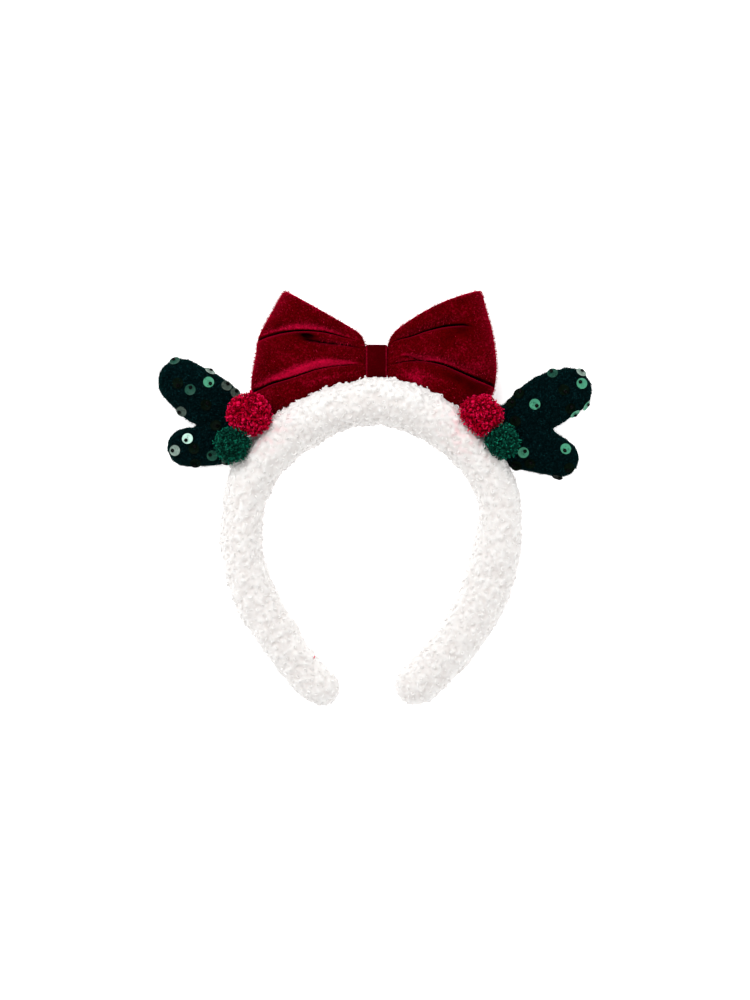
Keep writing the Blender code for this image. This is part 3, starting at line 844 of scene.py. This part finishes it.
# Columns: share of the way out, share of the way down, share of CREASE_DEPTH, painted sheen of the slope
# above
BOW_CREASES = {
    -1: (
        (
            (0.00, 0.16, 0.0, 0.1), (0.12, 0.19, 0.2, 0.1), (0.24, 0.22, 0.5, 0.2), (0.45, 0.24, 0.9, 0.4),
            (0.70, 0.29, 1.0, 0.5), (0.90, 0.36, 1.0, 0.3), (1.00, 0.40, 0.9, 0.2),
        ),
        (
            (0.00, 0.67, 0.2, 0.3), (0.12, 0.68, 0.9, 0.5), (0.24, 0.70, 1.0, 0.7), (0.45, 0.73, 1.0, 1.0),
            (0.70, 0.78, 1.0, 0.8), (0.90, 0.80, 1.0, 0.4), (1.00, 0.80, 0.8, 0.2),
        ),
    ),
    1: (
        (
            (0.00, 0.16, 0.2, 0.0), (0.12, 0.22, 0.9, 0.1), (0.24, 0.27, 1.0, 0.1), (0.45, 0.27, 1.0, 0.1),
            (0.68, 0.27, 0.8, 0.1), (0.80, 0.28, 0.2, 0.0), (0.90, 0.31, 0.0, 0.0), (1.00, 0.34, 0.0, 0.0),
        ),
        (
            (0.00, 0.67, 0.2, 0.1), (0.12, 0.67, 0.9, 0.1), (0.24, 0.66, 0.9, 0.3), (0.45, 0.67, 1.0, 0.4),
            (0.70, 0.72, 1.0, 0.28), (0.90, 0.76, 1.0, 0.0), (1.00, 0.76, 0.9, 0.0),
        ),
    ),
}
# A short third fold runs out of the knot on each side
BOW_PLEATS = {
    -1: (
        (0.00, 0.30, 0.1, 0.0), (0.12, 0.33, 0.6, 0.0), (0.25, 0.36, 0.8, 0.0),
        (0.45, 0.38, 0.7, 0.0), (0.68, 0.36, 0.0, 0.0),
    ),
    1: ((0.16, 0.56, 0.0, 0.3), (0.24, 0.59, 0.6, 0.5), (0.34, 0.64, 0.7, 0.4), (0.46, 0.67, 0.0, 0.2)),
}
# Spots of painted sheen, where the glow is above 0, and of painted shade, where it is below 0.
# Columns: shares out and down, half widths of both, glow
BOW_PAINTED_SPOTS = {
    -1: ((0.60, 0.315, 0.07, 0.028, -0.6), (0.42, 0.87, 0.16, 0.05, 0.12), (0.10, 0.86, 0.08, 0.08, 0.2)),
    1: (
        (0.73, 0.32, 0.08, 0.06, -0.18), (0.66, 0.78, 0.14, 0.04, -0.2), (0.84, 0.82, 0.10, 0.05, -0.2),
        (0.30, 0.88, 0.20, 0.10, 0.18), (0.85, 0.60, 0.12, 0.10, 0.08),
    ),
}


def smooth_read(rows, place):
    """The columns of a table at a place given by its first column, by a smooth curve through its rows."""
    place = min(max(place, rows[0][0]), rows[-1][0])
    i = max(k for k in range(len(rows) - 1) if rows[k][0] <= place)
    before, here, after, beyond = rows[max(i - 1, 0)], rows[i], rows[i + 1], rows[min(i + 2, len(rows) - 1)]
    step = after[0] - here[0]
    f = (place - here[0]) / step
    out = []
    for p, a, b, q in zip(before[1:], here[1:], after[1:], beyond[1:]):
        slope_a = (b - p) / (after[0] - before[0]) * step
        slope_b = (q - a) / (beyond[0] - here[0]) * step
        square = 3 * (b - a) - 2 * slope_a - slope_b
        cube = 2 * (a - b) + slope_a + slope_b
        out.append(a + f * (slope_a + f * (square + f * cube)))
    return out


def folds_at(side, s, t):
    """Depth of the creases at a place of the cloth, the shift of their lips, and the painted sheen and shade
    there.
    """
    depth = shift = glow = 0.0
    for rows in BOW_CREASES[side] + (BOW_PLEATS[side],):
        if not rows[0][0] <= s <= rows[-1][0]:
            continue
        line, share, bright = smooth_read(rows, s)
        off = t - line
        narrow = PLEAT_WIDTH if rows is BOW_PLEATS[side] else 1.0
        if off < 0:
            slope = CREASE_SLOPE * narrow
            above = min(off + CREASE_FLOOR, 0)
            depth += share * CREASE_DEPTH * math.exp(-((above / slope) ** 2))
            shift += share * LIP_OVERHANG * math.exp(off / (0.2 * slope))
        else:
            under = off / CREASE_LIP
            depth += share * CREASE_DEPTH * math.exp(-(under**2))
            shift += share * LIP_OVERHANG * (1 - 2 * under * math.exp(1 - under)) * math.exp(-under)
        width = GLOW_WIDTH[0] + GLOW_WIDTH[1] * bright * narrow
        # Painted sheen on the slope above the crease
        glow += bright * math.exp(-(((off + CREASE_FLOOR + 0.9 * width) / width) ** 2))
        # Painted shade in the fold
        dark = (off + 0.3 * CREASE_FLOOR) / (1.3 * CREASE_FLOOR)
        glow -= FOLD_PAINTED_SHADE * share * math.exp(-(dark**2))
    # Spots of painted sheen and painted shade
    for out, down, wide, high, painted_spot in BOW_PAINTED_SPOTS[side]:
        glow += painted_spot * math.exp(-(((s - out) / wide) ** 2) - ((t - down) / high) ** 2)
    return depth, shift, glow


# %% [markdown]
# The rows of the grid keep to the creases and crowd near them, so that a fold has many faces and
# the flat cloth between has few. Rows in even steps would cut across the folds and leave teeth.
# The columns crowd near the knot's front and back. The lower edge of the cloth rests on the band: a ray
# that is shot at the band says where.

# %% Bow cloth
ROWS_BETWEEN = (20, 40, 20)
BOW_COLUMNS = 72
COLUMN_CROWDING = 1.15
# Fullness of a loop at its edges, what it gains half way down, and what it loses at its lower edge
BELLY = (0.82, 0.18)
THINNING = 0.2
# How far the upper outer corner is drawn in and down, and the share of the cloth that it takes along
CORNER_PULL = (1.4 * MM, 0.9 * MM)
CORNER_SHARE = 0.02
# Painted sheen of the pile at the top edge and at the outer edge: its strength and its width
TOP_GLOW = (0.35, 0.010)
END_GLOW = (0.30, 0.004)
CLOTH_WAVE = 0.4 * MM
CLOTH_WAVE_LENGTH = 9 * MM
RAY_START = 0.3
# How fully the creases show behind, and how soon they do in front
BACK_RELIEF = -0.35
FRONT_RELIEF = 1.7

band_surface = surface_of(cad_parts["fleece_band"].data)


def row_places(side, s):
    """Places of the grid's rows down the cloth."""
    upper, lower = (smooth_read(rows, s)[0] for rows in BOW_CREASES[side])
    out = [0.0]
    for start, end, count in zip((0, upper, lower), (upper, lower, 1), ROWS_BETWEEN):
        out += [start + (end - start) * (1 - math.cos(math.pi * k / count)) / 2 for k in range(1, count + 1)]
    return out


def bow_place(side, u, t):
    """Place of the cloth and its painted sheen and shade. u runs round a loop from the knot's front to its
    back, and t downwards.
    """
    ends = BOW_ENDS[side]
    half_knot = KNOT_WIDTH / 2 - KNOT_TUCK
    s = math.sin(math.pi * u)
    near_knot = math.exp(-s / KNOT_SHOULDER)
    straight = ends[0][1] + (ends[-1][1] - ends[0][1]) * t
    curve = smooth_read(ends, t)[0] - straight + BOW_WALL / 2 / BOW_REACH
    out = half_knot + (straight * BOW_REACH - half_knot) * s + curve * BOW_REACH * s * s
    low_out = half_knot + (ends[-1][1] * BOW_REACH - half_knot) * s
    top = PINCH_HEIGHT + (BOW_RISE - PINCH_HEIGHT) * s + BOW_ARCH[side] * BOW_RISE * math.sin(math.pi * s)
    top += (PINCH_HEIGHT / 2 - top) * near_knot
    fold = math.sin(2 * math.pi * u)
    puff = BOW_PUFF_FRONT if u < 0.5 else BOW_PUFF_BACK
    depth = puff * fold * (BELLY[0] + BELLY[1] * math.sin(math.pi * t)) * (1 - THINNING * t)
    depth += (PINCH_GAP / 2 + BOW_WALL) * math.cos(math.pi * u)
    crease, shift, glow = folds_at(side, s, t)
    strength = min(abs(fold) * FRONT_RELIEF, 1.0) if u < 0.5 else BACK_RELIEF * abs(fold)
    x, z = KNOT_MIDDLE.x + side * out, KNOT_MIDDLE.z + depth - crease * strength
    above_band = Vector((KNOT_MIDDLE.x + side * low_out, RAY_START, z))
    foot = band_surface.ray_cast(above_band, Vector((0, -1, 0)))[0]
    low = foot.y + CLOTH_REST - KNOT_MIDDLE.y
    low += (-PINCH_HEIGHT / 2 - low) * math.exp(-s / (0.4 * KNOT_SHOULDER))
    y = KNOT_MIDDLE.y + top + (low - top) * t - shift * max(strength, 0)
    corner = math.exp(-t / CORNER_SHARE) * math.exp((s - 1) / CORNER_SHARE)
    # Painted sheen along the top edge and the outer edge
    rim = TOP_GLOW[0] * math.exp(-t / TOP_GLOW[1]) + END_GLOW[0] * math.exp((s - 1) / END_GLOW[1])
    place = (x - side * CORNER_PULL[0] * corner, y - CORNER_PULL[1] * corner, z)
    return place, glow * max(strength, 0) + rim


half = [0.5 * (i / BOW_COLUMNS) ** COLUMN_CROWDING for i in range(BOW_COLUMNS + 1)]
half += [1 - u for u in half[-2::-1]]
ring = [(-1, u) for u in half] + [(1, u) for u in half[::-1]]
rows_down = [row_places(side, math.sin(math.pi * u)) for side, u in ring]

bpy.ops.object.select_all(action="DESELECT")
bpy.ops.mesh.primitive_grid_add(x_subdivisions=len(ring), y_subdivisions=sum(ROWS_BETWEEN), size=1)
bow = bpy.context.object
bow.name = "velvet_bow_cloth"
flat = points_of(bow)
columns = np.rint((flat[:, 0] + 0.5) * len(ring)).astype(int) % len(ring)
rows = np.rint((0.5 - flat[:, 1]) * sum(ROWS_BETWEEN)).astype(int)
shaped = [bow_place(*ring[c], rows_down[c][r]) for c, r in zip(columns, rows)]
cloth_points = np.array([place for place, _ in shaped])
cloth_points[:, 2] += CLOTH_WAVE * lumps(cloth_points, CLOTH_WAVE_LENGTH)
move_points(bow, cloth_points)
# The painted sheen and shade of the cloth go in the attribute pile
set_attribute(bow, "pile", [glow for _, glow in shaped])
print("bow grid points:", len(cloth_points))

# %% [markdown]
# The two ends of the grid meet in front of the pinch, where the knot hides them. They are merged, so that
# the normals can be made consistent before the wall gets its thickness. A small bevel then rounds the edges
# of the wall, because the edge of doubled cloth is a soft fold.

# %% Bow thickness
bpy.ops.object.mode_set(mode="EDIT")
bpy.ops.mesh.select_all(action="SELECT")
bpy.ops.mesh.remove_doubles(threshold=0.01 * MM)
bpy.ops.mesh.normals_make_consistent(inside=False)
bpy.ops.object.mode_set(mode="OBJECT")
apply_modifier(bow, "SOLIDIFY", thickness=BOW_WALL, offset=-1.0)
apply_modifier(bow, "BEVEL", width=0.4 * MM, segments=2, limit_method="ANGLE", angle_limit=math.radians(50))
shade_smooth(bow)
finish_piece(bow, velvet, "crimson_velvet", "velvet_bow")

# %% [markdown]
# Bristles of pile stand out of the cloth and blur its outline; they are painted brighter than the cloth, a
# painted sheen at the outline. A bristle that leans across a fold would draw a dotted line over its painted
# shade, so the ones whose nearest point of cloth lies in that painted shade are left out.

# %% Velvet bristles
FOLD_SHADE_LIMIT = -0.05

cloth_tree = KDTree(len(bow.data.vertices))
for index, vertex in enumerate(bow.data.vertices):
    cloth_tree.insert(vertex.co, index)
cloth_tree.balance()
cloth_pile = [value.value for value in bow.data.attributes["pile"].data]


def out_of_folds(places):
    """Which places aren't in the painted shade of a fold."""
    return np.array([cloth_pile[cloth_tree.find(place)[1]] > FOLD_SHADE_LIMIT for place in places])


pile = fibres(
    "velvet_bow_pile", bow, per_square_mm=1.6, length=1.2 * MM, width=0.18 * MM, rise=1.8,
    rng=rng, bends=BRISTLE, keep=out_of_folds,
)
finish_piece(pile, velvet_fibre, "crimson_velvet")

# %% [markdown]
# The knot is a strap of the same velvet, wound round the pinch with its raw edges folded under. It is a
# rounded box with a hole through it for the pinch, crowned a little, with a shallow line along each edge.

# %% Bow knot
HOLE_SLACK = 0.6 * MM
KNOT_CROWN = 0.7 * MM
KNOT_SEAM = 0.35 * MM
# Place and width of the sunk line and of the painted sheen at each edge, as shares of half the knot's width
SEAM_LINE = (0.80, 0.05)
EDGE_GLOW_LINE = (0.92, 0.06)
KNOT_PILE, EDGE_GLOW = 0.02, 0.3
# The front and back of the knot are what lies further than this from its middle
KNOT_FACE = 3 * MM

knot_size = knot_high - knot_low
bpy.ops.object.select_all(action="DESELECT")
bpy.ops.mesh.primitive_cube_add(size=1, location=KNOT_MIDDLE, scale=knot_size)
knot = bpy.context.object
knot.name = "bow_knot_strap"
bpy.ops.object.transform_apply(location=True, rotation=True, scale=True)
apply_modifier(knot, "BEVEL", width=1.0 * MM, segments=4)
bpy.ops.object.select_all(action="DESELECT")
hole_size = (2 * KNOT_WIDTH, PINCH_HEIGHT + HOLE_SLACK, PINCH_GAP + 2 * BOW_WALL + HOLE_SLACK)
bpy.ops.mesh.primitive_cube_add(size=1, location=KNOT_MIDDLE, scale=hole_size)
hole = bpy.context.object
apply_modifier(hole, "BEVEL", width=0.4 * MM, segments=2)
apply_modifier(knot, "BOOLEAN", object=hole, operation="DIFFERENCE", solver="EXACT")
bpy.data.objects.remove(hole, do_unlink=True)
apply_modifier(knot, "REMESH", mode="VOXEL", voxel_size=0.35 * MM)
apply_modifier(knot, "SMOOTH", factor=0.5, iterations=3)
knot_points = points_of(knot)
aside = np.abs(knot_points[:, 0] - KNOT_MIDDLE.x) / (KNOT_WIDTH / 2)
crown = KNOT_CROWN * (1 - aside**2)
seam = KNOT_SEAM * np.exp(-(((aside - SEAM_LINE[0]) / SEAM_LINE[1]) ** 2))
forward = knot_points[:, 2] - KNOT_MIDDLE.z
knot_points[:, 2] += np.sign(forward) * (np.abs(forward) > KNOT_FACE) * (crown - seam)
move_points(knot, knot_points)
# Painted sheen along each edge of the knot
edge_glow = EDGE_GLOW * np.exp(-(((aside - EDGE_GLOW_LINE[0]) / EDGE_GLOW_LINE[1]) ** 2))
set_attribute(knot, "pile", KNOT_PILE + edge_glow)
shade_smooth(knot)
finish_piece(knot, knot_velvet, "crimson_velvet", "bow_knot")

# %% [markdown]
# The antlers are two felt faces sewn round stuffing. The core is the remeshed solid with a matted surface,
# and loose fibres lie on it in all directions, each a narrow strip of two faces that arches off the felt.

# %% Felt antlers
FUZZ_WIDTH = 0.14 * MM

for side in ("left", "right"):
    antler = soft_core(
        f"antler_{side}", f"felt_antler_{side}",
        grain=0.8 * MM, sink=0.1 * MM, swell=0.4 * MM, lump_size=2.8 * MM, smoothing=3,
    )
    finish_piece(antler, felt, "green_felt", f"antler_{side}")
    fuzz = fibres(
        f"felt_fuzz_{side}", antler, per_square_mm=1.6, length=1.7 * MM, width=FUZZ_WIDTH, rise=0.5, rng=rng
    )
    finish_piece(fuzz, felt_fibre, "green_felt")

# %% [markdown]
# A pompom is yarn tied in the middle and cut round. Only the outer ends show, each a short bent worm
# of yarn. The solid's ball becomes the dark inside. Clumps of yarn fill it out, bent ends stand on it close
# together, and loose fibres blur its outline.

# %% Pompoms
# Columns: node, yarn material, slot, then in mm radius of the clumps, radius of the yarn, spacing of its ends
POMPOMS = (
    ("pompom_red_left", red_yarn, "yarn_red", 1.20, 0.30, 1.2),
    ("pompom_red_right", red_yarn, "yarn_red", 1.20, 0.30, 1.2),
    ("pompom_green_left", green_yarn, "yarn_green", 0.75, 0.25, 1.1),
    ("pompom_green_right", green_yarn, "yarn_green", 0.75, 0.25, 1.1),
)
for node, yarn, slot, lump, thick, spacing in POMPOMS:
    ball = soft_core(
        node, f"{node}_ball", grain=1.0 * MM, sink=1.6 * MM, swell=1.5 * MM, lump_size=4.2 * MM, smoothing=3
    )
    # The ball takes the deepest tone: painted shade inside the pompom
    set_attribute(ball, "tone", np.zeros(len(ball.data.vertices)))
    finish_piece(ball, yarn, slot, node)
    places, normals = spread_places(ball, 1.6 * lump * MM, rng)
    clumps = cover(
        f"{node}_clumps", places, normals, tufts, lift=(-0.5 * MM, 0.6 * MM),
        size=(0.8 * lump * MM, 1.2 * lump * MM), reach=(0.2 * MM, 2.4 * MM), rng=rng,
    )
    finish_piece(clumps, yarn, slot)
    shapes = [
        yarn_curl(2.0 * thick * MM, thick * MM, 0.55, 0.8 * MM, 5),
        yarn_curl(1.6 * thick * MM, thick * MM, 0.85, 1.0 * MM, 6),
        yarn_curl(2.8 * thick * MM, thick * MM, 0.35, 0.6 * MM, 4),
    ]
    places, normals = spread_places(ball, spacing * MM, rng)
    ends = cover(
        f"{node}_yarn_ends", places, normals, shapes,
        lift=(0.3 * MM, 2.3 * MM), size=(0.85, 1.25), reach=(0.4 * MM, 3.0 * MM), rng=rng,
    )
    finish_piece(ends, yarn, slot)
    fuzz = fibres(
        f"{node}_fuzz", ball, per_square_mm=1.5, length=3.0 * MM, width=FUZZ_WIDTH, rise=0.8, rng=rng
    )
    finish_piece(fuzz, yarn, slot)

# %% [markdown]
# One short red fibre has come off a pompom and clings to the front of the band, low on its left arm.

# %% Stray red fibre
STRAY_START = (-33.5 * MM, -87.7 * MM, 100 * MM)

stray_foot = surface_of(band.data).ray_cast(Vector(STRAY_START), Vector((0, 0, -1)))[0]
stray_shape = yarn_curl(0.7 * MM, 0.30 * MM, 0.4, 0.3 * MM, 5)
stray = cover(
    "stray_red_fibre", np.array([stray_foot]), np.array([[0.0, 0.0, 1.0]]), [stray_shape],
    lift=(0.4 * MM, 0.5 * MM), size=(1.0, 1.1), reach=(-1.0 * MM, 0.1 * MM), rng=rng,
)
finish_piece(stray, red_yarn, "yarn_red")

# %% [markdown]
# A sequin is punched film: a shallow dish with a hole off its middle. The seed bead that holds it fills the
# hole, so no hole is cut. One dish is made by insetting a disc twice, each time a little lower, and one bead
# is a thick ring of glass.

# %% One sequin and one bead
SEQUIN_RADIUS = 3.0 * MM
# Widths of the lip and of the slope inside it, and the depths that they reach
SEQUIN_RINGS = (0.35 * MM, 1.0 * MM)
SEQUIN_LIP = 0.12 * MM
SEQUIN_DISH = 0.25 * MM
FILM_THICKNESS = 0.15 * MM
# Radius of a bead, and the shares of it from the middle to the ring of its tube and of the tube itself
BEAD_RADIUS = 1.05 * MM
BEAD_RING = 0.58
BEAD_TUBE = 0.42


def one_sequin():
    """A shallow dish of film, open to +Z."""
    bpy.ops.object.select_all(action="DESELECT")
    bpy.ops.mesh.primitive_circle_add(vertices=32, radius=SEQUIN_RADIUS, fill_type="NGON")
    disc = bpy.context.object
    bpy.ops.object.mode_set(mode="EDIT")
    bpy.ops.mesh.select_all(action="SELECT")
    for ring, drop in zip(SEQUIN_RINGS, (SEQUIN_LIP, SEQUIN_DISH - SEQUIN_LIP)):
        bpy.ops.mesh.inset(thickness=ring)
        bpy.ops.transform.translate(value=(0, 0, -drop))
    bpy.ops.object.mode_set(mode="OBJECT")
    apply_modifier(disc, "SOLIDIFY", thickness=FILM_THICKNESS, offset=0.0)
    apply_modifier(
        disc, "BEVEL", width=0.04 * MM, segments=1, limit_method="ANGLE", angle_limit=math.radians(50)
    )
    return disc


def one_bead():
    bpy.ops.object.select_all(action="DESELECT")
    bpy.ops.mesh.primitive_torus_add(
        major_radius=BEAD_RADIUS * BEAD_RING,
        minor_radius=BEAD_RADIUS * BEAD_TUBE,
        major_segments=14,
        minor_segments=8,
    )
    return bpy.context.object


sequin_master = one_sequin()
bead_master = one_bead()
print("sequin faces:", len(sequin_master.data.polygons), "bead faces:", len(bead_master.data.polygons))

# %% [markdown]
# Each copy is turned to its CAD disc, which says where the felt is and how it leans there. The table gives
# the sequins that took the light in the photo. The others are olive, and their beads turn round by number.

# %% Place the sequins
# Distance of the hole from the middle, as a share of the radius, and the turn from one unlit bead to the next
HOLE_PLACE = 0.42
BEAD_STEP = 137

# Columns: node, film, direction of the bead as seen from the front, in degrees from +X
# A sequin's film is painted light: pale films paint its reflection, dark ones its shade, and unlit ones get
# olive shade
SHOWN_SEQUINS = {
    "sequin_left_01": ("green", 80),
    "sequin_left_02": ("mint", -45),
    "sequin_left_05": ("grey", 200),
    "sequin_left_06": ("green", 120),
    "sequin_left_07": ("silver", 60),
    "sequin_left_08": ("grey", 60),
    "sequin_left_09": ("grey", 60),
    "sequin_left_10": ("pale", 235),
    "sequin_left_11": ("silver", 180),
    "sequin_left_13": ("green", 150),
    "sequin_left_15": ("grey", 270),
    "sequin_right_01": ("mint", 140),
    "sequin_right_02": ("mint", -35),
    "sequin_right_05": ("green", 120),
    "sequin_right_06": ("silver", 60),
    "sequin_right_07": ("mint", 0),
    "sequin_right_08": ("mint", -60),
    "sequin_right_10": ("mint", 45),
    "sequin_right_11": ("mint", 235),
}


def disc_of(node):
    """Middle and normal of a CAD sequin, from its points: the normal is the way they spread least."""
    points = points_of(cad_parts[node])
    middle = (points.max(axis=0) + points.min(axis=0)) / 2
    _, _, axes = np.linalg.svd(points - points.mean(axis=0), full_matrices=False)
    normal = axes[2] if axes[2][2] > 0 else -axes[2]
    return Vector(middle), Vector(normal)


def placed_copy(master, name, place, turn):
    """A copy with its own mesh, whose place and turn are in its points."""
    obj = new_object(name, master.data.copy())
    obj.data.transform(Matrix.Translation(place) @ turn.to_matrix().to_4x4())
    select_only(obj)
    bpy.ops.object.shade_smooth_by_angle(angle=math.radians(35))
    return obj


for number, node in enumerate(sorted(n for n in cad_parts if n.startswith("sequin"))):
    film, direction = SHOWN_SEQUINS.get(node, ("olive", BEAD_STEP * number))
    middle, normal = disc_of(node)
    turn = normal.to_track_quat("Z", "Y")
    sequin = placed_copy(sequin_master, node.replace("sequin", "film_sequin"), middle, turn)
    finish_piece(sequin, FILMS[film], "green_sequin", node)
    way = Vector((math.cos(math.radians(direction)), math.sin(math.radians(direction)), 0))
    way = (way - normal * way.dot(normal)).normalized()
    bead_place = middle + way * SEQUIN_RADIUS * HOLE_PLACE + normal * (BEAD_RADIUS * BEAD_TUBE)
    bead = placed_copy(bead_master, node.replace("sequin", "seed_bead"), bead_place, turn)
    finish_piece(bead, bead_glass, "green_sequin")

bpy.data.objects.remove(sequin_master, do_unlink=True)
bpy.data.objects.remove(bead_master, do_unlink=True)
